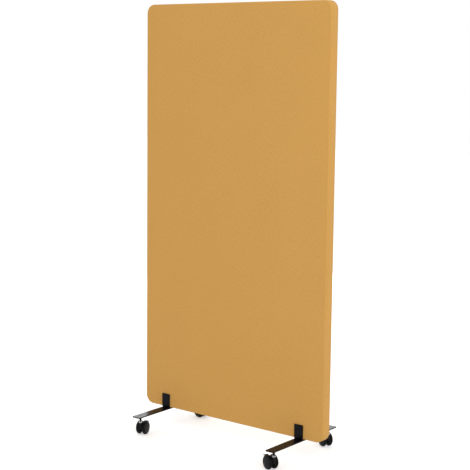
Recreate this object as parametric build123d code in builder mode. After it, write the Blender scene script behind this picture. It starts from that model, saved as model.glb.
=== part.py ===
"""Free-standing partition wall: a fabric-covered acoustic panel on two flat steel feet with braked castors.

Units are millimetres. X runs along the panel, -Y is the front, +Z is up. The origin is on the floor, under
the middle of the panel.
"""

import os
from math import asin, cos, radians, sin

from build123d import *

# ---------------------------------------------------------------- panel
panel_width = 800.0
panel_height = 1500.0
panel_depth = 40.0
panel_corner_radius = 32.0
cover_edge_radius = 4.0  # soft rounding along the front and rear edges
cover_thickness = 1.0
cover_return = 6.0  # how far each face cover turns over the edge, to its seam with the band
felt_thickness = 3.0
fit_gap = 0.3  # between pieces that are slid or laid together

# ---------------------------------------------------------------- timber frame inside the panel
stile_width = 45.0
top_rail_height = 45.0
bottom_rail_height = 60.0
mid_rail_height = 45.0
mid_rail_level = 760.0  # middle of the rail above the bottom of the panel
dowel_diameter = 8.0
dowel_length = 50.0
dowel_pitch = 22.0
dowel_clearance = 0.1

# ---------------------------------------------------------------- feet
foot_inset = 100.0  # from each end of the panel to the middle of its foot
castor_height = 70.0  # floor to the underside of the foot bar
bar_width = 35.0
bar_length = 390.0
bar_thickness = 4.0
bar_corner_radius = 4.0
bar_edge_radius = 0.6
saddle_thickness = 3.0
saddle_height = 53.0
saddle_bend_radius = 2.5
saddle_corner_radius = 1.0
screw_pitch = 18.0
screw_diameter = 6.0
screw_head_diameter = 12.0
screw_length = 21.0
screw_socket_size = 4.0
screw_clearance = 0.3
insert_diameter = 10.0
insert_length = 15.0
thread_gap = 0.05

# ---------------------------------------------------------------- castors
castor_inset = 27.0  # from each end of the bar to the middle of the stem
stem_diameter = 8.0
pin_diameter = 7.0
pin_end_level = 25.5
pin_chamfer = 1.0
wheel_radius = 25.0
trail = 19.5  # from the stem back to the axle
wheel_gap = 15.2  # between the inner faces of the two wheels
tyre_width = 9.0
tyre_thickness = 4.0
tyre_crown = 1.5
shoulder_width = 2.6
face_radius = 15.5
dome_height = 1.9
disc_thickness = 3.2
rim_thickness = 3.0
hub_radius = 5.0
rib_count = 6
rib_thickness = 1.4
rib_setback = 1.0  # from the wheel's open side
rib_bite = 0.5  # into the hub and the rim
axle_radius = 2.5
axle_chamfer = 0.5
running_gap = 0.05
hood_side_gap = 0.6  # from the hood to each wheel
hood_radius = 22.5  # from the axle to the top of the hood
hood_wall = 2.2
hood_crown = 1.0
hood_rear_angle = 52.0  # where the hood ends and the pedal starts, above the trail
web_thickness = 8.0
axle_boss_radius = 6.5
boss_floor = 2.0
collar_radius = 6.4
collar_height = 5.6
collar_chamfer = 0.8
sleeve_radius = 4.5
pivot_behind_axle = 9.0
pivot_above_axle = 12.5
pivot_radius = 1.5
pivot_eye_radius = 3.0
pedal_slot_angle = 4.0  # between the end of the hood and the pedal's shoulder
pedal_reach = 35.0  # from the axle back to the end of the pad
pedal_level = 16.2  # top of the pad's end above the axle
pedal_slope = 1.0  # fall of the pad towards its end
pedal_pad_length = 8.0
pedal_pad_width = 16.0
pedal_width = 13.0
pedal_thickness = 2.2
pedal_root_depth = 7.0  # of the lever, where it leaves the hood
grip_count = 3
grip_pitch = 1.8
grip_radius = 0.4

# each castor: name, side of the panel in X, side in Y, and where its trail points, in degrees from +X
castors = (
    ("front_left", -1, -1, 105.0),
    ("front_right", 1, -1, 158.0),
    ("rear_right", 1, 1, 153.0),
    ("rear_left", -1, 1, 358.0),
)

# ---------------------------------------------------------------- levels and widths that follow
foot_spacing = panel_width - 2 * foot_inset
stem_spacing = bar_length - 2 * castor_inset
bar_top = castor_height + bar_thickness
panel_bottom = bar_top + saddle_thickness
panel_top = panel_bottom + panel_height
panel_middle = panel_bottom + panel_height / 2
seam_offset = panel_depth / 2 - cover_return
frame_margin = cover_thickness + fit_gap
frame_depth = panel_depth - 2 * (cover_thickness + felt_thickness)
frame_width = panel_width - 2 * frame_margin
frame_corner_radius = panel_corner_radius - frame_margin
stile_middle = frame_width / 2 - stile_width / 2
stile_bottom = panel_bottom + frame_margin + bottom_rail_height
stile_top = panel_top - frame_margin - top_rail_height
mid_rail_middle = panel_bottom + mid_rail_level
opening_width = frame_width - 2 * stile_width
insert_level = panel_bottom + frame_margin
screw_places = [
    (side * foot_spacing / 2 + end * screw_pitch / 2, 0) for side in (-1, 1) for end in (-1, 1)
]
dowel_columns = [
    side * stile_middle + end * dowel_pitch / 2 for side in (-1, 1) for end in (-1, 1)
]
dowel_rows = [mid_rail_middle + end * dowel_pitch / 2 for end in (-1, 1)]
dowel_hole_radius = dowel_diameter / 2 + dowel_clearance
dowel_hole_depth = dowel_length / 2 + dowel_clearance

axle_level = wheel_radius
tyre_inner = wheel_gap / 2
tyre_outer = tyre_inner + tyre_width
rim_radius = wheel_radius - tyre_thickness
face_offset = tyre_outer + shoulder_width
shoulder_height = wheel_radius - tyre_crown - face_radius
dome_radius = (face_radius**2 + dome_height**2) / (2 * dome_height)
dome_angle = asin(face_radius / dome_radius)
boss_top = axle_level + hood_radius
boss_radius = tyre_inner - hood_side_gap
collar_top = boss_top + collar_height

os.makedirs("parts", exist_ok=True)


def save(piece, name):
    """Label a finished piece and write it to its own STEP file."""
    piece.part.label = name
    export_step(piece.part, f"parts/{name}.step")


def upright(side, distance):
    """An upright plane facing the front (side -1) or the rear (side 1), at that distance from the middle."""
    return Plane(origin=(0, side * distance, panel_middle), x_dir=(1, 0, 0), z_dir=(0, side, 0))


# ================================================================ panel covers
def face_cover(side, name):
    """Fabric over one face of the panel, turned over the edge as far as its seam."""
    outward = Axis((0, 0, panel_middle), (0, side, 0))
    with BuildPart() as cover:
        with BuildSketch(upright(side, seam_offset)):
            RectangleRounded(panel_width, panel_height, panel_corner_radius)
        extrude(amount=cover_return)
        fillet(cover.faces().sort_by(outward)[-1].edges(), radius=cover_edge_radius)
        offset(amount=-cover_thickness, openings=cover.faces().sort_by(outward)[0])
    save(cover, name)


def edge_band():
    """Fabric band round the edge of the panel, between the two face covers, with holes for the foot screws."""
    with BuildPart() as band:
        with BuildSketch(upright(-1, -seam_offset)):
            RectangleRounded(panel_width, panel_height, panel_corner_radius)
            RectangleRounded(
                panel_width - 2 * cover_thickness,
                panel_height - 2 * cover_thickness,
                panel_corner_radius - cover_thickness,
                mode=Mode.SUBTRACT,
            )
        extrude(amount=2 * seam_offset)
        with BuildSketch(Plane.XY.offset(panel_bottom)):
            with Locations(*screw_places):
                Circle(screw_diameter / 2 + screw_clearance)
        extrude(amount=cover_thickness, mode=Mode.SUBTRACT)
    save(band, "edge_band")


def face_felt(side, name):
    """Felt under one face cover, rounded to lie inside the cover's edge."""
    outward = Axis((0, 0, panel_middle), (0, side, 0))
    with BuildPart() as felt:
        with BuildSketch(upright(side, frame_depth / 2)):
            RectangleRounded(frame_width, panel_height - 2 * frame_margin, frame_corner_radius)
        extrude(amount=felt_thickness)
        edge_radius = min(cover_edge_radius - cover_thickness, felt_thickness) - fit_gap
        fillet(felt.faces().sort_by(outward)[-1].edges(), radius=edge_radius)
    save(felt, name)


# ================================================================ timber frame, dowels and core
def upright_dowel_holes(level, direction):
    """Bore the dowel holes of a top or bottom joint into the open part, from that level."""
    with BuildSketch(Plane.XY.offset(level)) as holes:
        with Locations(*[(x, 0) for x in dowel_columns]):
            Circle(dowel_hole_radius)
    extrude(holes.sketch, amount=direction * dowel_hole_depth, mode=Mode.SUBTRACT)


def level_dowel_holes(side, direction):
    """Bore the two dowel holes of a mid rail joint into the open part."""
    joint = Plane(origin=(side * opening_width / 2, 0, 0), x_dir=(0, 1, 0), z_dir=(1, 0, 0))
    with BuildSketch(joint) as holes:
        with Locations(*[(0, z) for z in dowel_rows]):
            Circle(dowel_hole_radius)
    extrude(holes.sketch, amount=direction * dowel_hole_depth, mode=Mode.SUBTRACT)


def outer_rail(name, level, height, toward_middle):
    """Top or bottom rail: full width, with its two outer corners rounded like the panel's."""
    with BuildPart() as rail:
        with BuildSketch(Plane.XZ.offset(-frame_depth / 2)) as outline:
            with Locations((0, level)):
                Rectangle(frame_width, height)
            corners = outline.vertices().sort_by(Axis.Y)
            outer_corners = corners[:2] if toward_middle > 0 else corners[-2:]
            fillet(outer_corners, radius=frame_corner_radius)
        extrude(amount=frame_depth)
        upright_dowel_holes(level + toward_middle * height / 2, -toward_middle)
        if toward_middle > 0:
            with BuildSketch(Plane.XY.offset(insert_level)):
                with Locations(*screw_places):
                    Circle(insert_diameter / 2 + thread_gap)
            extrude(amount=screw_length, mode=Mode.SUBTRACT)
    save(rail, name)


def stile(side, name):
    """Upright of the frame, between the top and bottom rails."""
    with BuildPart() as post:
        with BuildSketch(Plane.XY.offset(stile_bottom)):
            with Locations((side * stile_middle, 0)):
                Rectangle(stile_width, frame_depth)
        extrude(amount=stile_top - stile_bottom)
        upright_dowel_holes(stile_bottom, 1)
        upright_dowel_holes(stile_top, -1)
        level_dowel_holes(side, side)
    save(post, name)


def mid_rail():
    """Cross rail between the stiles."""
    with BuildPart() as rail:
        with BuildSketch(Plane.XZ.offset(-frame_depth / 2)):
            with Locations((0, mid_rail_middle)):
                Rectangle(opening_width, mid_rail_height)
        extrude(amount=frame_depth)
        for side in (-1, 1):
            level_dowel_holes(side, -side)
    save(rail, "mid_rail")


def core_slab(name, bottom, top):
    """Stone-wool slab that fills one opening of the frame."""
    with BuildPart() as slab:
        with BuildSketch(Plane.XZ.offset(-frame_depth / 2)):
            with Locations((0, (bottom + top) / 2)):
                Rectangle(opening_width - 2 * fit_gap, top - bottom - 2 * fit_gap)
        extrude(amount=frame_depth)
    save(slab, name)


def frame_dowels():
    """Twelve beech dowels that join the rails and stiles."""
    with BuildPart() as dowels:
        for level in (stile_bottom, stile_top):
            with BuildSketch(Plane.XY.offset(level - dowel_length / 2)):
                with Locations(*[(x, 0) for x in dowel_columns]):
                    Circle(dowel_diameter / 2)
            extrude(amount=dowel_length)
        for side in (-1, 1):
            start = side * opening_width / 2 - dowel_length / 2
            with BuildSketch(Plane(origin=(start, 0, 0), x_dir=(0, 1, 0), z_dir=(1, 0, 0))):
                with Locations(*[(0, z) for z in dowel_rows]):
                    Circle(dowel_diameter / 2)
            extrude(amount=dowel_length)
    save(dowels, "frame_dowels")


def threaded_inserts():
    """Steel inserts in the bottom rail, which take the foot screws."""
    with BuildPart() as inserts:
        with BuildSketch(Plane.XY.offset(insert_level)):
            with Locations(*screw_places):
                Circle(insert_diameter / 2)
                Circle(screw_diameter / 2 + thread_gap, mode=Mode.SUBTRACT)
        extrude(amount=insert_length)
    save(inserts, "threaded_inserts")


# ================================================================ feet
def foot_bar(side, name):
    """Flat steel bar under the panel, with a tapped hole for a castor near each end."""
    middle = (side * foot_spacing / 2, 0)
    with BuildPart() as bar:
        with BuildSketch(Plane(origin=(*middle, castor_height))):
            RectangleRounded(bar_width, bar_length, bar_corner_radius)
        extrude(amount=bar_thickness)
        for face in (bar.faces().sort_by(Axis.Z)[0], bar.faces().sort_by(Axis.Z)[-1]):
            fillet(face.edges(), radius=bar_edge_radius)
        with Locations(Plane(origin=(*middle, bar_top))):
            with Locations((0, -stem_spacing / 2), (0, stem_spacing / 2)):
                Hole(stem_diameter / 2 + thread_gap, depth=bar_thickness)
        with Locations(Plane(origin=(*middle, castor_height), z_dir=(0, 0, -1))):
            with Locations((-screw_pitch / 2, 0), (screw_pitch / 2, 0)):
                CounterSinkHole(
                    screw_diameter / 2 + screw_clearance,
                    screw_head_diameter / 2 + screw_clearance,
                    depth=bar_thickness,
                    counter_sink_angle=90,
                )
    save(bar, name)


def saddle(side, name):
    """U-shaped steel bracket that stands on the bar and holds the bottom edge of the panel."""
    inner_half = panel_depth / 2 + fit_gap
    profile_plane = Plane(
        origin=(side * foot_spacing / 2 - bar_width / 2, 0, bar_top), x_dir=(0, 1, 0), z_dir=(1, 0, 0)
    )
    with BuildPart() as bracket:
        with BuildSketch(profile_plane):
            with BuildLine():
                FilletPolyline(
                    (-inner_half, saddle_height),
                    (-inner_half, saddle_thickness),
                    (inner_half, saddle_thickness),
                    (inner_half, saddle_height),
                    radius=saddle_bend_radius,
                )
                offset(amount=saddle_thickness, side=Side.RIGHT)
            make_face()
        extrude(amount=bar_width)
        top_corners = bracket.edges().filter_by(Axis.Y).group_by(Axis.Z)[-1]
        fillet(top_corners, radius=saddle_corner_radius)
        with Locations(Plane(origin=(side * foot_spacing / 2, 0, panel_bottom))):
            with Locations((-screw_pitch / 2, 0), (screw_pitch / 2, 0)):
                Hole(screw_diameter / 2 + screw_clearance, depth=saddle_thickness)
    save(bracket, name)


def foot_screws():
    """Four countersunk screws, up through the bars and saddles into the panel's inserts."""
    head_height = (screw_head_diameter - screw_diameter) / 2
    with BuildPart() as screws:
        with BuildSketch(Plane.XY.offset(castor_height)):
            with Locations(*screw_places):
                Circle(screw_diameter / 2)
        extrude(amount=screw_length)
        with Locations(*[(x, y, castor_height) for x, y in screw_places]):
            Cone(
                screw_head_diameter / 2,
                screw_diameter / 2,
                head_height,
                align=(Align.CENTER, Align.CENTER, Align.MIN),
            )
        with BuildSketch(Plane.XY.offset(castor_height)):
            with Locations(*screw_places):
                RegularPolygon(screw_socket_size / 2, 6, major_radius=False)
        extrude(amount=head_height, mode=Mode.SUBTRACT)
    save(screws, "foot_screws")


# ================================================================ castors
def radial_plane(place, angle):
    """A plane through the axle: x runs along the axle, y outward at that angle above the trail direction."""
    outward = place.x_dir * cos(radians(angle)) + place.z_dir * sin(radians(angle))
    return Plane(axle_middle(place), x_dir=place.y_dir, z_dir=place.y_dir.cross(outward))


def side_plane(place):
    """The castor's middle plane, seen from the side: x along the trail, y up, origin on the axle."""
    return Plane(axle_middle(place), x_dir=place.x_dir, z_dir=-place.y_dir)


def axle_middle(place):
    """The middle of the axle."""
    return place.from_local_coords(Vector(trail, 0, axle_level))


def polar(radius, angle):
    """A point in the castor's side plane, at that radius and angle about the axle."""
    return (radius * cos(radians(angle)), radius * sin(radians(angle)))


def castor_stem(place, name):
    """Threaded stem, screwed into the bar, with the plain pin that the castor swivels on."""
    with BuildPart() as stem:
        with BuildSketch(place.offset(pin_end_level)):
            Circle(pin_diameter / 2)
        extrude(amount=collar_top + fit_gap - pin_end_level)
        chamfer(stem.edges().group_by(Axis.Z)[0], length=pin_chamfer)
        with BuildSketch(place.offset(collar_top + fit_gap)):
            Circle(stem_diameter / 2)
        extrude(amount=bar_top - collar_top - fit_gap)
    save(stem, name)


def castor_collar(place, name):
    """Zinc-plated bush in the hood, in which the stem's pin turns, with the collar that shows above."""
    with BuildPart() as collar:
        with BuildSketch(place.offset(pin_end_level)):
            Circle(sleeve_radius)
        extrude(amount=boss_top - pin_end_level)
        with BuildSketch(place.offset(boss_top)):
            Circle(collar_radius)
        extrude(amount=collar_height)
        chamfer(collar.edges().group_by(Axis.Z)[-1], length=collar_chamfer)
        with BuildSketch(place.offset(pin_end_level)):
            Circle(pin_diameter / 2 + running_gap)
        extrude(amount=collar_top - pin_end_level, mode=Mode.SUBTRACT)
    save(collar, name)


def castor_hood(place, name):
    """Moulded hood between the wheels: a web under a crowned rim, with the bosses for the stem and the axle."""
    side = side_plane(place)
    boss_bottom = pin_end_level - boss_floor
    rim_middle = hood_radius - hood_wall / 2
    with BuildPart() as hood:
        with BuildSketch(radial_plane(place, 90)) as rim:
            with BuildLine():
                crown = ThreePointArc(
                    (-boss_radius, hood_radius - hood_crown),
                    (0, hood_radius),
                    (boss_radius, hood_radius - hood_crown),
                )
                Polyline(
                    crown @ 0,
                    (-boss_radius, hood_radius - hood_wall),
                    (boss_radius, hood_radius - hood_wall),
                    crown @ 1,
                )
            make_face()
        extrude(rim.sketch, amount=-trail)
        revolve(
            rim.sketch,
            axis=Axis(axle_middle(place), place.y_dir),
            revolution_arc=90 - hood_rear_angle,
        )
        with BuildSketch(side):
            with BuildLine():
                rear = CenterArc((0, 0), rim_middle, hood_rear_angle, 90 - hood_rear_angle)
                Polyline(
                    rear @ 1,
                    (-trail, rim_middle),
                    (-trail, boss_bottom - axle_level),
                    (0, -axle_boss_radius),
                    (axle_boss_radius, 0),
                    (pivot_behind_axle + pivot_eye_radius, pivot_above_axle - pivot_eye_radius),
                    rear @ 0,
                )
            make_face()
        extrude(amount=web_thickness / 2, both=True)
        with BuildSketch(side):
            Polygon(
                (-trail, boss_bottom - axle_level),
                (0, -axle_boss_radius),
                (0, hood_wall - axle_boss_radius),
                (-trail, boss_bottom - axle_level + hood_wall),
                align=None,
            )
        extrude(amount=boss_radius, both=True)
        with BuildSketch(side):
            Circle(axle_boss_radius)
        extrude(amount=tyre_inner - fit_gap, both=True)
        with BuildSketch(place.offset(boss_bottom)):
            Circle(boss_radius)
        extrude(amount=boss_top - boss_bottom)
        with BuildSketch(place.offset(boss_top)):
            Circle(sleeve_radius + running_gap)
        extrude(amount=-(boss_top - pin_end_level + fit_gap), mode=Mode.SUBTRACT)
        with BuildSketch(side):
            Circle(axle_radius + running_gap)
        extrude(amount=tyre_inner, both=True, mode=Mode.SUBTRACT)
        for end in (-1, 1):
            with BuildSketch(side.offset(end * web_thickness / 2)):
                with Locations((pivot_behind_axle, pivot_above_axle)):
                    Circle(pivot_radius + running_gap)
            extrude(amount=-end * (pivot_radius + fit_gap), mode=Mode.SUBTRACT)
    save(hood, name)


def castor_axle(place, name):
    """Steel axle through the hood, with a wheel on each end."""
    with BuildPart() as axle:
        with BuildSketch(side_plane(place)):
            Circle(axle_radius)
        extrude(amount=face_offset - disc_thickness - fit_gap, both=True)
        chamfer(axle.edges().filter_by(GeomType.CIRCLE), length=axle_chamfer)
    save(axle, name)


def wheel_core(place, end, name):
    """Moulded wheel: hub, ribbed disc with a domed outer face, and the rim under the tyre."""
    disc_inner = face_offset - disc_thickness
    with BuildPart() as core:
        with BuildSketch(radial_plane(place, 90)):
            with BuildLine():
                rim_side = Polyline(
                    (end * disc_inner, 0),
                    (end * disc_inner, axle_radius + running_gap),
                    (end * tyre_inner, axle_radius + running_gap),
                    (end * tyre_inner, hub_radius),
                    (end * disc_inner, hub_radius),
                    (end * disc_inner, rim_radius - rim_thickness),
                    (end * tyre_inner, rim_radius - rim_thickness),
                    (end * tyre_inner, rim_radius),
                    (end * (tyre_outer + thread_gap), rim_radius),
                    (end * (tyre_outer + thread_gap), face_radius + shoulder_height),
                )
                shoulder = ThreePointArc(
                    rim_side @ 1,
                    (
                        end * (tyre_outer + shoulder_width * sin(radians(45))),
                        face_radius + shoulder_height * sin(radians(45)),
                    ),
                    (end * face_offset, face_radius),
                )
                dome = ThreePointArc(
                    shoulder @ 1,
                    (
                        end * (face_offset + dome_height - dome_radius * (1 - cos(dome_angle / 2))),
                        dome_radius * sin(dome_angle / 2),
                    ),
                    (end * (face_offset + dome_height), 0),
                )
                Line(dome @ 1, rim_side @ 0)
            make_face()
        revolve(axis=Axis(axle_middle(place), place.y_dir))
        with BuildSketch(side_plane(place).offset(-end * (disc_inner + thread_gap))):
            with PolarLocations((hub_radius + rim_radius - rim_thickness) / 2, rib_count):
                Rectangle(rim_radius - rim_thickness - hub_radius + 2 * rib_bite, rib_thickness)
        extrude(amount=end * (disc_inner - tyre_inner - rib_setback))
    save(core, name)


def wheel_tyre(place, end, name):
    """Soft tyre with a crowned tread."""
    with BuildPart() as tyre:
        with BuildSketch(radial_plane(place, 90)):
            with BuildLine():
                tread = ThreePointArc(
                    (end * tyre_inner, wheel_radius - tyre_crown),
                    (end * (tyre_inner + tyre_width / 2), wheel_radius),
                    (end * tyre_outer, wheel_radius - tyre_crown),
                )
                Polyline(
                    tread @ 0,
                    (end * tyre_inner, rim_radius + thread_gap),
                    (end * tyre_outer, rim_radius + thread_gap),
                    tread @ 1,
                )
            make_face()
        revolve(axis=Axis(axle_middle(place), place.y_dir))
    save(tyre, name)


def brake_pedal(place, name):
    """Brake pedal: a lever behind the hood with a ribbed pad, on two arms that snap over the web."""
    side = side_plane(place)
    cheek = web_thickness / 2 + fit_gap
    shoulder_angle = hood_rear_angle - pedal_slot_angle
    pad_start = pedal_reach - pedal_pad_length
    shoulder_x, shoulder_y = polar(hood_radius, shoulder_angle)
    with BuildPart() as pedal:
        with BuildSketch(side):
            Polygon(
                (pivot_behind_axle, pivot_above_axle + pivot_eye_radius),
                polar(hood_radius - hood_wall, shoulder_angle),
                (shoulder_x, shoulder_y),
                (pad_start, pedal_level + pedal_slope),
                (pedal_reach, pedal_level),
                (pedal_reach, pedal_level - pedal_thickness),
                (pad_start, pedal_level + pedal_slope - pedal_thickness),
                (shoulder_x, shoulder_y - pedal_root_depth),
                (pivot_behind_axle, pivot_above_axle - pivot_eye_radius),
                align=None,
            )
            with Locations((pivot_behind_axle, pivot_above_axle)):
                Circle(pivot_eye_radius)
        extrude(amount=pedal_width / 2, both=True)
        with BuildSketch(side):
            with Locations((shoulder_x, 0)):
                Rectangle(shoulder_x, 2 * hood_radius, align=(Align.MAX, Align.CENTER))
        extrude(amount=cheek, both=True, mode=Mode.SUBTRACT)
        with BuildSketch(side):
            Polygon(
                (pad_start, pedal_level + pedal_slope),
                (pedal_reach, pedal_level),
                (pedal_reach, pedal_level - pedal_thickness),
                (pad_start, pedal_level + pedal_slope - pedal_thickness),
                align=None,
            )
            for grip in range(grip_count):
                step = (grip + 1) * grip_pitch
                with Locations((pedal_reach - step, pedal_level + pedal_slope * step / pedal_pad_length)):
                    Circle(grip_radius)
        extrude(amount=pedal_pad_width / 2, both=True)
        for end in (-1, 1):
            with BuildSketch(side.offset(end * cheek)):
                with Locations((pivot_behind_axle, pivot_above_axle)):
                    Circle(pivot_radius)
            extrude(amount=-end * (pivot_radius + fit_gap))
    save(pedal, name)


def castor(name, x_side, y_side, turn):
    """All the pieces of one braked twin-wheel castor, with its trail turned to that angle."""
    place = Plane(
        origin=(x_side * foot_spacing / 2, y_side * stem_spacing / 2, 0),
        x_dir=(cos(radians(turn)), sin(radians(turn)), 0),
        z_dir=(0, 0, 1),
    )
    castor_stem(place, f"{name}_stem")
    castor_collar(place, f"{name}_collar")
    castor_hood(place, f"{name}_hood")
    castor_axle(place, f"{name}_axle")
    for end, letter in ((1, "a"), (-1, "b")):
        wheel_core(place, end, f"{name}_wheel_{letter}")
        wheel_tyre(place, end, f"{name}_tyre_{letter}")
    brake_pedal(place, f"{name}_pedal")


# ================================================================ the whole wall
face_cover(-1, "front_cover")
face_cover(1, "rear_cover")
edge_band()
face_felt(-1, "front_felt")
face_felt(1, "rear_felt")

outer_rail("top_rail", panel_top - frame_margin - top_rail_height / 2, top_rail_height, -1)
outer_rail("bottom_rail", panel_bottom + frame_margin + bottom_rail_height / 2, bottom_rail_height, 1)
stile(-1, "left_stile")
stile(1, "right_stile")
mid_rail()
core_slab("lower_core", stile_bottom, mid_rail_middle - mid_rail_height / 2)
core_slab("upper_core", mid_rail_middle + mid_rail_height / 2, stile_top)
frame_dowels()
threaded_inserts()

for foot_side, foot_name in ((-1, "left"), (1, "right")):
    foot_bar(foot_side, f"{foot_name}_foot_bar")
    saddle(foot_side, f"{foot_name}_saddle")
foot_screws()

for castor_name, x_side, y_side, turn in castors:
    castor(castor_name, x_side, y_side, turn)
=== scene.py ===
"""Dresses the partition wall: stretched fabric covers, painted feet, moulded castors, light and camera.

Units are metres, in the frame's axes: +X along the panel, -Y the front, +Z up, the origin on the floor.
Colours are linear.
"""

from math import ceil, cos, hypot, pi, radians, sin

import bpy
from mathutils import Matrix, Vector


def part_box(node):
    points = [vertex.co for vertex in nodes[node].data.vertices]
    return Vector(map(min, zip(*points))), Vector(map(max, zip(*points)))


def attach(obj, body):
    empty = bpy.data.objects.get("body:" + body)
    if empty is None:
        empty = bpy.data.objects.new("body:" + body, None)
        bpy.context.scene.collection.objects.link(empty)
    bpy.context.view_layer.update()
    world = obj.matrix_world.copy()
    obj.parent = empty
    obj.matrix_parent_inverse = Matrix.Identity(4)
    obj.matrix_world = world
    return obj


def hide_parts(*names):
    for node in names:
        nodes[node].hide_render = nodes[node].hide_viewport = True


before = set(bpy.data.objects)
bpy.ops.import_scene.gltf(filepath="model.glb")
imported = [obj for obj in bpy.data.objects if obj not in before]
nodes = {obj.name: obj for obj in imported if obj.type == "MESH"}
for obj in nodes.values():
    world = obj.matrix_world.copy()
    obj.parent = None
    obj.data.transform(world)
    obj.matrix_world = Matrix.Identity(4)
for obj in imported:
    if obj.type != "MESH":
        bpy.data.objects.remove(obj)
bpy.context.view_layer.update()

MM = 0.001
CASTORS = ("front_left", "front_right", "rear_right", "rear_left")

# ---------------------------------------------------------------- camera
CAMERA_PLACE = (2.6926, -3.5842, 1.4169)
CAMERA_YAW = 41.21  # degrees, as are pitch and roll
CAMERA_PITCH = 7.53
CAMERA_ROLL = 0.08
CAMERA_LENS = 97.06  # millimetres
CAMERA_SHIFT = (0.20, -0.04)  # picture widths

# ---------------------------------------------------------------- fabric covers
CORNER_RADIUS = 32 * MM
EDGE_RADIUS = 4 * MM
COVER_RETURN = 6 * MM  # from the face to the seam
LIP_RADIUS = 1 * MM  # roll of the cloth into the seam
SEAM_GAP = 0.1 * MM
CLOTH_THICKNESS = 0.9 * MM
CROWN = 0.7 * MM  # how far the felt pushes the middle of a face out
CROWN_WIDTH = 45 * MM  # the strip along the edge over which the crown rises
PRESS_MARGIN = 9 * MM  # cloth beside a saddle over which its pressure fades
FINE_PITCH = 4 * MM
COARSE_PITCH = 20 * MM
FINE_STRIP = 140 * MM  # as far from the edge as the fine mesh goes
EDGE_STEPS = 7
LIP_STEPS = 4

# ---------------------------------------------------------------- threaded stems
THREAD_PITCH = 1.25 * MM
THREAD_DEPTH = 0.65 * MM
THREAD_START = 0.3 * MM  # over the collar
THREAD_ROWS = 8  # rows of points in one pitch
FLANK_RISE = 3.2  # what a flank would climb in one pitch, in thread depths
FLANK_SINK = 0.3  # how far under the root two flanks would meet, in thread depths
PIN_STEP = 0.5 * MM  # from the thread's crest in to the pin
TIP_CHAMFER = 1 * MM
STEM_STEPS = 32  # points round the stem
STEM_ANGLES = [2 * pi * step / STEM_STEPS for step in range(STEM_STEPS)]

# ---------------------------------------------------------------- colours; noise blends those of a pair
MUSTARD = (0.614, 0.330, 0.085)
NAP = (0.95, 0.80, 0.55, 1.0)  # sheen of the cloth's short fibres
PAINT = ((0.003, 0.003, 0.004), (0.006, 0.006, 0.008))
OXIDE = ((0.010, 0.010, 0.011), (0.035, 0.034, 0.034))
ZINC = ((0.30, 0.31, 0.32), (0.42, 0.42, 0.41))
HOOD_NYLON = ((0.004, 0.004, 0.005), (0.009, 0.009, 0.010))
WHEEL_NYLON = ((0.007, 0.007, 0.008), (0.013, 0.013, 0.014))
TYRE_RUBBER = ((0.003, 0.003, 0.003), (0.006, 0.006, 0.006))
FELT = ((0.62, 0.61, 0.57), (0.78, 0.77, 0.73))
STONE_WOOL = ((0.16, 0.14, 0.07), (0.34, 0.31, 0.18))
SPRUCE = ((0.62, 0.42, 0.22), (0.45, 0.27, 0.12))
BEECH = ((0.60, 0.38, 0.22), (0.45, 0.26, 0.14))
WHITE = (1.0, 1.0, 1.0, 1.0)

# ---------------------------------------------------------------- weave
YARN_PITCH = 1.1 * MM
YARN_DRIFT = 0.12  # changes of shade along a yarn for each change across the yarns


# ================================================================ meshes
def object_from(name, verts, faces, uvs=None):
    """A smooth mesh object; uvs gives one (u, v) for each vertex."""
    mesh = bpy.data.meshes.new(name)
    mesh.from_pydata([tuple(v) for v in verts], [], faces)
    mesh.polygons.foreach_set("use_smooth", [True] * len(mesh.polygons))
    if uvs is not None:
        layer = mesh.uv_layers.new(name="cloth")
        for loop in mesh.loops:
            layer.data[loop.index].uv = uvs[loop.vertex_index]
    mesh.update()
    piece = bpy.data.objects.new(name, mesh)
    bpy.context.scene.collection.objects.link(piece)
    return piece


def smooth_step(x):
    """0 below 0, 1 above 1, and a smooth rise between."""
    x = min(max(x, 0.0), 1.0)
    return x * x * (3 - 2 * x)


def ring_faces(rings):
    """Quads between neighbouring closed rings of vertex numbers."""
    faces = []
    for ring, following in zip(rings, rings[1:]):
        for j in range(len(ring)):
            k = (j + 1) % len(ring)
            faces.append((ring[j], ring[k], following[k], following[j]))
    return faces


def flipped(faces):
    return [tuple(reversed(face)) for face in faces]


# ================================================================ fabric covers
def spaced_lines(half):
    """Grid lines from -half to half, close together near both edges."""
    fine = [-half + FINE_PITCH * i for i in range(round(FINE_STRIP / FINE_PITCH) + 1)]
    start = fine[-1]
    count = ceil(-2 * start / COARSE_PITCH)
    coarse = [start - 2 * start * i / count for i in range(1, count)]
    return fine + coarse + [-x for x in reversed(fine)]


def rounded(x, z, half_width, half_height, radius):
    """Moves a point of a rectangle into the rectangle with rounded corners; gives its place, outward
    direction and distance from the edge."""
    over_x, over_z = abs(x) - (half_width - radius), abs(z) - (half_height - radius)
    sign_x, sign_z = (1 if x > 0 else -1), (1 if z > 0 else -1)
    if over_x <= 0 or over_z <= 0:
        if half_width - abs(x) < half_height - abs(z):
            return x, z, sign_x, 0.0, half_width - abs(x)
        return x, z, 0.0, sign_z, half_height - abs(z)
    reach = max(over_x, over_z)
    angle = pi / 4 * over_z / over_x if over_x >= over_z else pi / 2 - pi / 4 * over_x / over_z
    out_x, out_z = sign_x * cos(angle), sign_z * sin(angle)
    x = sign_x * (half_width - radius) + out_x * reach
    z = sign_z * (half_height - radius) + out_z * reach
    return x, z, out_x, out_z, radius - reach


def pressed(x, z, saddles):
    """1 where a saddle's upright presses on the cloth, fading to 0 beside it."""
    press = 0.0
    for low, high in saddles:
        beside = max(low.x - x, x - high.x, z - high.z, 0.0)
        press = max(press, smooth_step(1 - beside / PRESS_MARGIN))
    return press


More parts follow.
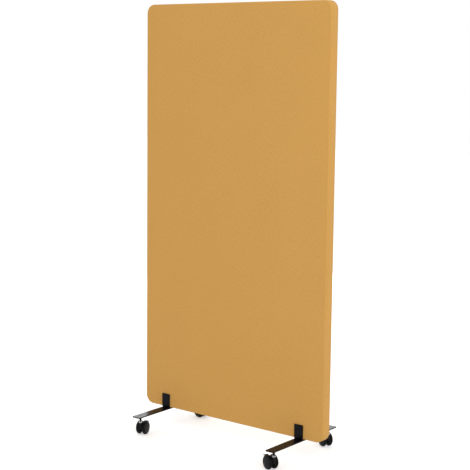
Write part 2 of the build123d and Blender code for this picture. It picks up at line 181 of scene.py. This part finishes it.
def border_walk(columns, rows):
    """Grid numbers (column, row) once round the edge of a grid."""
    walk = [(i, 0) for i in range(columns)]
    walk += [(columns - 1, j) for j in range(1, rows)]
    walk += [(i, rows - 1) for i in range(columns - 2, -1, -1)]
    walk += [(0, j) for j in range(rows - 2, 0, -1)]
    return walk


def cover_profile(half_depth):
    """The edge of a cover as (outward from the face's flat, level over the middle plane, cloth used)."""
    profile = []
    for step in range(1, EDGE_STEPS + 1):
        angle = pi / 2 * step / EDGE_STEPS
        level = half_depth - EDGE_RADIUS + EDGE_RADIUS * cos(angle)
        profile.append((EDGE_RADIUS * sin(angle), level, EDGE_RADIUS * angle))
    seam = half_depth - COVER_RETURN + SEAM_GAP / 2
    used = EDGE_RADIUS * pi / 2 + half_depth - EDGE_RADIUS - seam - LIP_RADIUS
    for step in range(LIP_STEPS + 1):
        angle = pi / 2 * step / LIP_STEPS
        out = EDGE_RADIUS - LIP_RADIUS + LIP_RADIUS * cos(angle)
        profile.append((out, seam + LIP_RADIUS - LIP_RADIUS * sin(angle), used + LIP_RADIUS * angle))
    return profile


def band_profile(half_depth):
    """The band's cross-section as (outward from the panel's edge, level over the middle plane)."""
    seam = half_depth - COVER_RETURN - SEAM_GAP / 2
    profile = []
    for step in range(LIP_STEPS + 1):
        angle = pi / 2 * (1 - step / LIP_STEPS)
        profile.append((LIP_RADIUS * (cos(angle) - 1), LIP_RADIUS * (1 - sin(angle)) - seam))
    return profile + [(out, -level) for out, level in reversed(profile)]


def thickened(piece):
    """Gives a sheet the cloth's thickness, towards the inside of the panel."""
    solid = piece.modifiers.new("cloth thickness", "SOLIDIFY")
    solid.thickness = CLOTH_THICKNESS
    solid.offset = -1
    solid.use_even_offset = True
    return piece


def face_cloth(name, side, low, high, saddles):
    """One face cover: stretched over the felt, crowned, pressed in by the saddles, rolled in at its seam."""
    half_width = (high.x - low.x) / 2 - EDGE_RADIUS
    half_height = (high.z - low.z) / 2 - EDGE_RADIUS
    half_depth = max(abs(low.y), abs(high.y))
    middle = (low.z + high.z) / 2
    radius = CORNER_RADIUS - EDGE_RADIUS
    columns, rows = spaced_lines(half_width), spaced_lines(half_height)
    verts, uvs, places = [], [], {}
    for j, row in enumerate(rows):
        for i, column in enumerate(columns):
            x, z, out_x, out_z, inset = rounded(column, row, half_width, half_height, radius)
            crown = CROWN * smooth_step(inset / CROWN_WIDTH) * (1 - pressed(x, z + middle, saddles))
            verts.append((x, side * (half_depth + crown), z + middle))
            uvs.append((x, z))
            places[i, j] = (x, z, out_x, out_z)
    faces = []
    for j in range(len(rows) - 1):
        for i in range(len(columns) - 1):
            k = j * len(columns) + i
            faces.append((k, k + 1, k + len(columns) + 1, k + len(columns)))
    walk = border_walk(len(columns), len(rows))
    rings = [[j * len(columns) + i for i, j in walk]]
    for out, level, used in cover_profile(half_depth):
        ring = []
        for place in walk:
            x, z, out_x, out_z = places[place]
            ring.append(len(verts))
            verts.append((x + out_x * out, side * level, z + out_z * out + middle))
            uvs.append((x + out_x * used, z + out_z * used))
        rings.append(ring)
    faces += flipped(ring_faces(rings))
    if side > 0:
        faces = flipped(faces)
    return thickened(object_from(name, verts, faces, uvs))


def band_cloth(name, low, high, half_depth):
    """The band round the panel's edge, rolled in at both seams."""
    half_width, middle = (high.x - low.x) / 2, (low.z + high.z) / 2
    half_height = (high.z - low.z) / 2
    columns, rows = spaced_lines(half_width), spaced_lines(half_height)
    edge = []
    for i, j in border_walk(len(columns), len(rows)):
        x, z, out_x, out_z, _ = rounded(columns[i], rows[j], half_width, half_height, CORNER_RADIUS)
        edge.append((x, z, out_x, out_z))
    along = [0.0]
    for start, end in zip(edge, edge[1:]):
        along.append(along[-1] + hypot(end[0] - start[0], end[1] - start[1]))
    verts, uvs, rings = [], [], []
    for out, level in band_profile(half_depth):
        rings.append([len(verts) + k for k in range(len(edge))])
        for (x, z, out_x, out_z), distance in zip(edge, along):
            verts.append((x + out_x * out, level, z + out_z * out + middle))
            uvs.append((distance, level))
    return thickened(object_from(name, verts, flipped(ring_faces(rings)), uvs))


# ================================================================ threaded stems
def thread_radius(radius, level, angle):
    """The thread's radius at a level and angle: sloping flanks, with crest and root equally wide."""
    place = (level / THREAD_PITCH - angle / (2 * pi)) % 1.0
    height = smooth_step((0.5 - abs(place - 0.5)) * FLANK_RISE - FLANK_SINK)
    return radius - THREAD_DEPTH * (1 - height)


def stem_ring(middle, level, radii):
    """Points round the stem at one level, with a radius for each."""
    points = []
    for angle, radius in zip(STEM_ANGLES, radii):
        points.append((middle.x + radius * cos(angle), middle.y + radius * sin(angle), level))
    return points


def threaded_stem(name):
    """The castor's stem: a plain pin in the bush, and a thread from the collar up into the foot bar."""
    low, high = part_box(f"{name}_stem")
    collar_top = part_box(f"{name}_collar")[1].z
    middle = (low + high) / 2
    radius = (high.x - low.x) / 2
    pin = radius - PIN_STEP
    start = collar_top + THREAD_START
    verts = []
    for level, ring_radius in ((low.z, pin - TIP_CHAMFER), (low.z + TIP_CHAMFER, pin), (start, pin)):
        verts += stem_ring(middle, level, [ring_radius] * STEM_STEPS)
    rows = round((high.z - start) / THREAD_PITCH * THREAD_ROWS)
    for row in range(rows + 1):
        level = start + (high.z - start) * row / rows
        verts += stem_ring(middle, level, [thread_radius(radius, level, angle) for angle in STEM_ANGLES])
    rings = [list(range(first, first + STEM_STEPS)) for first in range(0, len(verts), STEM_STEPS)]
    faces = ring_faces(rings) + [tuple(reversed(rings[0])), tuple(rings[-1])]
    piece = object_from(f"{name}_threaded_stem", verts, faces)
    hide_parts(f"{name}_stem")
    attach(piece, "wall")
    return piece


# ================================================================ shader nodes
def join(tree, value, socket):
    """Links an output to a socket, or gives the socket a plain value."""
    if isinstance(value, bpy.types.NodeSocket):
        tree.links.new(value, socket)
    else:
        socket.default_value = value


def math_node(tree, operation, *values):
    """The output of a new Math node."""
    node = tree.nodes.new("ShaderNodeMath")
    node.operation = operation
    for value, socket in zip(values, node.inputs):
        join(tree, value, socket)
    return node.outputs[0]


class Material:
    """A Principled material with short ways to add and join nodes."""

    def __init__(self, name, **sockets):
        self.data = bpy.data.materials.new(name)
        self.data.use_nodes = True
        self.tree = self.data.node_tree
        self.shader = self.tree.nodes["Principled BSDF"]
        for socket, value in sockets.items():
            self.set(socket.replace("_", " "), value)

    def set(self, socket, value):
        join(self.tree, value, self.shader.inputs[socket])

    def node(self, kind, inputs, **settings):
        """A new node; inputs are values or outputs for its sockets, by name or number."""
        node = self.tree.nodes.new(kind)
        for key, value in settings.items():
            setattr(node, key, value)
        for key, value in inputs.items():
            join(self.tree, value, node.inputs[key])
        return node

    def math(self, operation, *values):
        return math_node(self.tree, operation, *values)

    def blend(self, first, second, share):
        """The first value's share, and the second value for the rest."""
        rest = self.math("SUBTRACT", 1.0, share)
        return self.math("ADD", self.math("MULTIPLY", first, share), self.math("MULTIPLY", second, rest))

    def object_place(self):
        return self.node("ShaderNodeTexCoord", {}).outputs["Object"]

    def stretched(self, place, scale):
        """A place stretched by three factors."""
        return self.node("ShaderNodeMapping", {"Vector": place, "Scale": scale}).outputs[0]

    def noise(self, scale, detail, place=None):
        """The value of a Noise texture, 0 to 1, in object space unless a place is given."""
        inputs = {"Vector": place or self.object_place(), "Scale": scale, "Detail": detail}
        return self.node("ShaderNodeTexNoise", inputs).outputs["Fac"]

    def ramp(self, value, *stops):
        """A colour ramp of (place, colour) stops."""
        node = self.node("ShaderNodeValToRGB", {"Fac": value})
        while len(node.color_ramp.elements) < len(stops):
            node.color_ramp.elements.new(0.5)
        for element, (place, colour) in zip(node.color_ramp.elements, stops):
            element.position = place
            element.color = (*colour, 1.0)
        return node.outputs[0]

    def range(self, value, low, high):
        """Maps 0..1 to low..high."""
        return self.node("ShaderNodeMapRange", {"Value": value, "To Min": low, "To Max": high}).outputs[0]

    def mottle(self, scale, detail, pair, start=0.3, end=0.7):
        """Lets the base colour drift between a pair of colours by noise."""
        self.set("Base Color", self.ramp(self.noise(scale, detail), (start, pair[0]), (end, pair[1])))

    def gloss(self, scale, detail, low, high):
        """Lets the roughness drift between two values by noise."""
        self.set("Roughness", self.range(self.noise(scale, detail), low, high))

    def bump(self, height, distance, strength):
        """Bumps the surface by a height of 0..1 times a distance in metres."""
        inputs = {"Height": height, "Distance": distance, "Strength": strength}
        self.set("Normal", self.node("ShaderNodeBump", inputs).outputs[0])


# ================================================================ materials
def tint(colour, factor):
    return tuple(c * factor for c in colour)


def fabric_material():
    """Mustard wool-blend cloth in a plain weave, with small differences between yarns, painted shade in the
    gaps between them and a faint painted lightening on their crowns.
    """
    m = Material("mustard_cloth", Roughness=0.92, IOR=1.4, Specular_IOR_Level=0.25)
    m.set("Sheen Weight", 0.18)
    m.set("Sheen Roughness", 0.45)
    m.set("Sheen Tint", NAP)
    uv = m.node("ShaderNodeUVMap", {}, uv_map="cloth").outputs[0]
    split = m.node("ShaderNodeSeparateXYZ", {0: uv}).outputs
    turns_u = m.math("MULTIPLY", split[0], 2 * pi / YARN_PITCH)
    turns_v = m.math("MULTIPLY", split[1], 2 * pi / YARN_PITCH)
    warp = m.math("MULTIPLY_ADD", m.math("COSINE", turns_u), 0.5, 0.5)
    weft = m.math("MULTIPLY_ADD", m.math("COSINE", turns_v), 0.5, 0.5)

    # warp and weft take turns on top, as the squares of a chessboard
    half_u = m.math("COSINE", m.math("MULTIPLY", turns_u, 0.5))
    half_v = m.math("COSINE", m.math("MULTIPLY", turns_v, 0.5))
    warp_on_top = m.math("MULTIPLY_ADD", m.math("MULTIPLY", half_u, half_v), 0.5, 0.5)
    weave = m.blend(warp, weft, warp_on_top)
    across, along = 1 / YARN_PITCH, YARN_DRIFT / YARN_PITCH
    warp_yarns = m.noise(1.0, 3.0, m.stretched(uv, (across, along, 1.0)))
    weft_yarns = m.noise(1.0, 3.0, m.stretched(uv, (along, across, 1.0)))
    yarns = m.blend(warp_yarns, weft_yarns, warp_on_top)
    clouds = m.noise(5.0, 2.0)
    shade = m.math("ADD", m.math("MULTIPLY", yarns, 0.93), m.math("MULTIPLY", clouds, 0.07))
    dyed = m.ramp(shade, (0.30, tint(MUSTARD, 0.84)), (0.50, MUSTARD), (0.70, tint(MUSTARD, 1.16)))
    # painted shade: the weave's height darkens the dye in the gaps between yarns and lightens it a little on
    # their crowns
    painted_gap_shade = m.range(weave, 0.86, 1.05)
    colours = {"Factor": 1.0, 6: dyed, 7: painted_gap_shade}  # 6 and 7 are the two colour sockets
    dyed_and_shaded = m.node("ShaderNodeMix", colours, data_type="RGBA", blend_type="MULTIPLY")
    m.set("Base Color", dyed_and_shaded.outputs[2])
    fuzz = m.noise(2200.0, 2.0)
    height = m.math("ADD", m.math("MULTIPLY", weave, 0.75), m.math("MULTIPLY", fuzz, 0.25))
    m.bump(height, 0.16 * MM, 0.8)
    return m.data


def paint_material():
    """Semi-gloss black powder coat: a faint orange peel and slightly uneven gloss."""
    m = Material("black_powder_coat", IOR=1.5, Specular_IOR_Level=0.08)
    m.mottle(35.0, 3.0, PAINT, start=0.35)
    m.gloss(60.0, 4.0, 0.20, 0.30)
    m.bump(m.noise(450.0, 1.5), 0.02 * MM, 0.5)
    return m.data


def oxide_material():
    """Blackened steel of the stems and screws."""
    m = Material("black_oxide", Metallic=0.6, IOR=1.5)
    m.mottle(300.0, 3.0, OXIDE, end=0.75)
    m.gloss(180.0, 3.0, 0.32, 0.5)
    m.bump(m.noise(1500.0, 2.0), 0.02 * MM, 0.4)
    return m.data


def zinc_material():
    """Bright zinc plate with faint cloudy stains."""
    m = Material("zinc_plate", Metallic=1.0)
    m.mottle(160.0, 4.0, ZINC)
    m.gloss(240.0, 3.0, 0.24, 0.40)
    m.bump(m.noise(900.0, 2.0), 0.02 * MM, 0.3)
    return m.data


def moulded_material(name, pair, roughness, grain):
    """Black moulded plastic or rubber with a fine spark-eroded grain; roughness is its lowest and highest."""
    m = Material(name, IOR=1.5, Specular_IOR_Level=0.08)
    m.mottle(120.0, 3.0, pair, end=0.75)
    m.gloss(90.0, 3.0, *roughness)
    m.bump(m.noise(grain, 2.0), 0.03 * MM, 0.5)
    return m.data


def felt_material():
    m = Material("white_felt", Roughness=0.95, Specular_IOR_Level=0.2)
    m.mottle(700.0, 4.0, FELT)
    m.bump(m.noise(900.0, 3.0), 0.3 * MM, 0.8)
    return m.data


def wool_material():
    m = Material("stone_wool", Roughness=0.95, Specular_IOR_Level=0.2)
    fibres = m.noise(1.0, 5.0, m.stretched(m.object_place(), (260.0, 260.0, 900.0)))
    m.set("Base Color", m.ramp(fibres, (0.3, STONE_WOOL[0]), (0.7, STONE_WOOL[1])))
    m.bump(fibres, 0.8 * MM, 0.8)
    return m.data


def wood_material(name, pair, scale):
    """Wood whose grain runs along the axis with the smallest of the three scales."""
    m = Material(name, Roughness=0.6)
    place = m.stretched(m.object_place(), scale)
    waves = {"Vector": place, "Scale": 1.0, "Distortion": 6.0, "Detail": 3.0, "Detail Scale": 1.5}
    wave = m.node("ShaderNodeTexWave", waves).outputs["Fac"]
    grain = m.math("ADD", m.math("MULTIPLY", wave, 0.7), m.math("MULTIPLY", m.noise(300.0, 4.0), 0.3))
    m.set("Base Color", m.ramp(grain, (0.2, pair[0]), (0.85, pair[1])))
    m.bump(grain, 0.1 * MM, 0.4)
    return m.data


def paint_nodes(material, *names):
    """Gives CAD nodes a material."""
    for name in names:
        data = nodes[name].data
        data.materials.clear()
        data.materials.append(material)


# ================================================================ light, floor and camera
def glow_strength(tree, strength):
    """A strength that only camera, gloss and transmission rays see."""
    path = tree.nodes.new("ShaderNodeLightPath").outputs
    seen = path["Is Camera Ray"]
    for ray in ("Is Glossy Ray", "Is Transmission Ray"):
        seen = math_node(tree, "MAXIMUM", seen, path[ray])
    return math_node(tree, "MULTIPLY", seen, strength)


def white_world(level, seen):
    """Pale surroundings: one level that lights the object, and another that the camera and gloss see."""
    world = bpy.data.worlds.new("studio")
    bpy.context.scene.world = world
    world.use_nodes = True
    tree = world.node_tree
    background = tree.nodes["Background"]
    background.inputs["Color"].default_value = WHITE
    total = math_node(tree, "ADD", glow_strength(tree, seen - level), level)
    tree.links.new(total, background.inputs["Strength"])


def white_floor(size, grey, glow):
    """A plain pale floor that keeps the object's shadow; its glow shows to the camera and in gloss."""
    half = size / 2
    corners = [(-half, -half, 0), (half, -half, 0), (half, half, 0), (-half, half, 0)]
    floor = object_from("floor", corners, [(0, 1, 2, 3)])
    m = Material("pale_floor", Base_Color=(grey, grey, grey, 1.0), Roughness=0.9)
    m.set("Specular IOR Level", 0.0)
    m.set("Emission Color", WHITE)
    m.set("Emission Strength", glow_strength(m.tree, glow))
    floor.data.materials.append(m.data)


def soft_light(name, place, target, width, height, power):
    """A rectangular studio light aimed at a point; power in watts."""
    data = bpy.data.lights.new(name, "AREA")
    data.shape = "RECTANGLE"
    data.size = width
    data.size_y = height
    data.energy = power
    light = bpy.data.objects.new(name, data)
    light.location = place
    light.rotation_euler = (Vector(target) - Vector(place)).to_track_quat("-Z", "Y").to_euler()
    bpy.context.scene.collection.objects.link(light)


def add_camera():
    data = bpy.data.cameras.new("camera")
    data.lens = CAMERA_LENS
    data.shift_x, data.shift_y = CAMERA_SHIFT
    camera = bpy.data.objects.new("camera", data)
    turn = Matrix.Rotation(radians(CAMERA_YAW), 4, "Z") @ Matrix.Rotation(radians(90 - CAMERA_PITCH), 4, "X")
    roll = Matrix.Rotation(radians(CAMERA_ROLL), 4, "Z")
    camera.matrix_world = Matrix.Translation(CAMERA_PLACE) @ turn @ roll
    bpy.context.scene.collection.objects.link(camera)
    bpy.context.scene.camera = camera


# ================================================================ the whole wall
def cover_panel():
    """Stretches the cloth over both faces and round the edge."""
    low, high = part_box("edge_band")
    depth_low, depth_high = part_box("front_cover")[0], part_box("rear_cover")[1]
    low = Vector((low.x, depth_low.y, low.z))
    high = Vector((high.x, depth_high.y, high.z))
    saddles = [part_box("left_saddle"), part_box("right_saddle")]
    cloth = fabric_material()

    # beyond the panel's outline, a face's cut goes round the edge, on to the seam and past it
    front = face_cloth("front_cloth", -1, low, high, saddles)
    rear = face_cloth("rear_cloth", 1, low, high, saddles)
    band = band_cloth("band_cloth", low, high, high.y)
    for piece, node, felt in ((front, "front_cover", "front_felt"), (rear, "rear_cover", "rear_felt")):
        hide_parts(node)

    # the band's cut is as long as the outline, whose round corners shorten it
    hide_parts("edge_band")
    for piece in (front, rear, band):
        piece.data.materials.append(cloth)
        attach(piece, "wall")


def paint_inside():
    """Colours what the covers hide: felt, stone wool and the wooden frame."""
    paint_nodes(felt_material(), "front_felt", "rear_felt")
    paint_nodes(wool_material(), "lower_core", "upper_core")
    level = wood_material("spruce_level", SPRUCE, (8.0, 160.0, 160.0))
    paint_nodes(level, "top_rail", "mid_rail", "bottom_rail")
    upright = wood_material("spruce_upright", SPRUCE, (160.0, 160.0, 8.0))
    paint_nodes(upright, "left_stile", "right_stile")
    paint_nodes(wood_material("beech_dowel", BEECH, (220.0, 220.0, 220.0)), "frame_dowels")


def paint_feet(oxide):
    """Colours the foot bars, their fasteners and the castors."""
    zinc = zinc_material()
    paint_nodes(zinc, "threaded_inserts")
    paint_nodes(oxide, "foot_screws")
    paint_nodes(paint_material(), "left_foot_bar", "right_foot_bar", "left_saddle", "right_saddle")
    hood = moulded_material("hood_nylon", HOOD_NYLON, roughness=(0.50, 0.62), grain=1600.0)
    wheel = moulded_material("wheel_nylon", WHEEL_NYLON, roughness=(0.36, 0.50), grain=1300.0)
    tread = moulded_material("tyre_rubber", TYRE_RUBBER, roughness=(0.45, 0.62), grain=900.0)
    for name in CASTORS:
        paint_nodes(hood, f"{name}_hood", f"{name}_pedal")
        paint_nodes(zinc, f"{name}_collar", f"{name}_axle")
        paint_nodes(wheel, f"{name}_wheel_a", f"{name}_wheel_b")
        paint_nodes(tread, f"{name}_tyre_a", f"{name}_tyre_b")


cover_panel()
black_oxide = oxide_material()
for castor in CASTORS:
    threaded_stem(castor).data.materials.append(black_oxide)
paint_inside()
paint_feet(black_oxide)

bpy.context.scene.view_settings.view_transform = "Standard"
white_world(level=0.90, seen=1.0)
white_floor(size=24.0, grey=0.80, glow=0.40)
soft_light("key", place=(3.8, -2.4, 3.2), target=(0, 0, 0.9), width=2.4, height=2.4, power=80)
soft_light("back", place=(-2.4, 2.2, 1.1), target=(0, 0, 0.5), width=3.0, height=2.0, power=38)
add_camera()
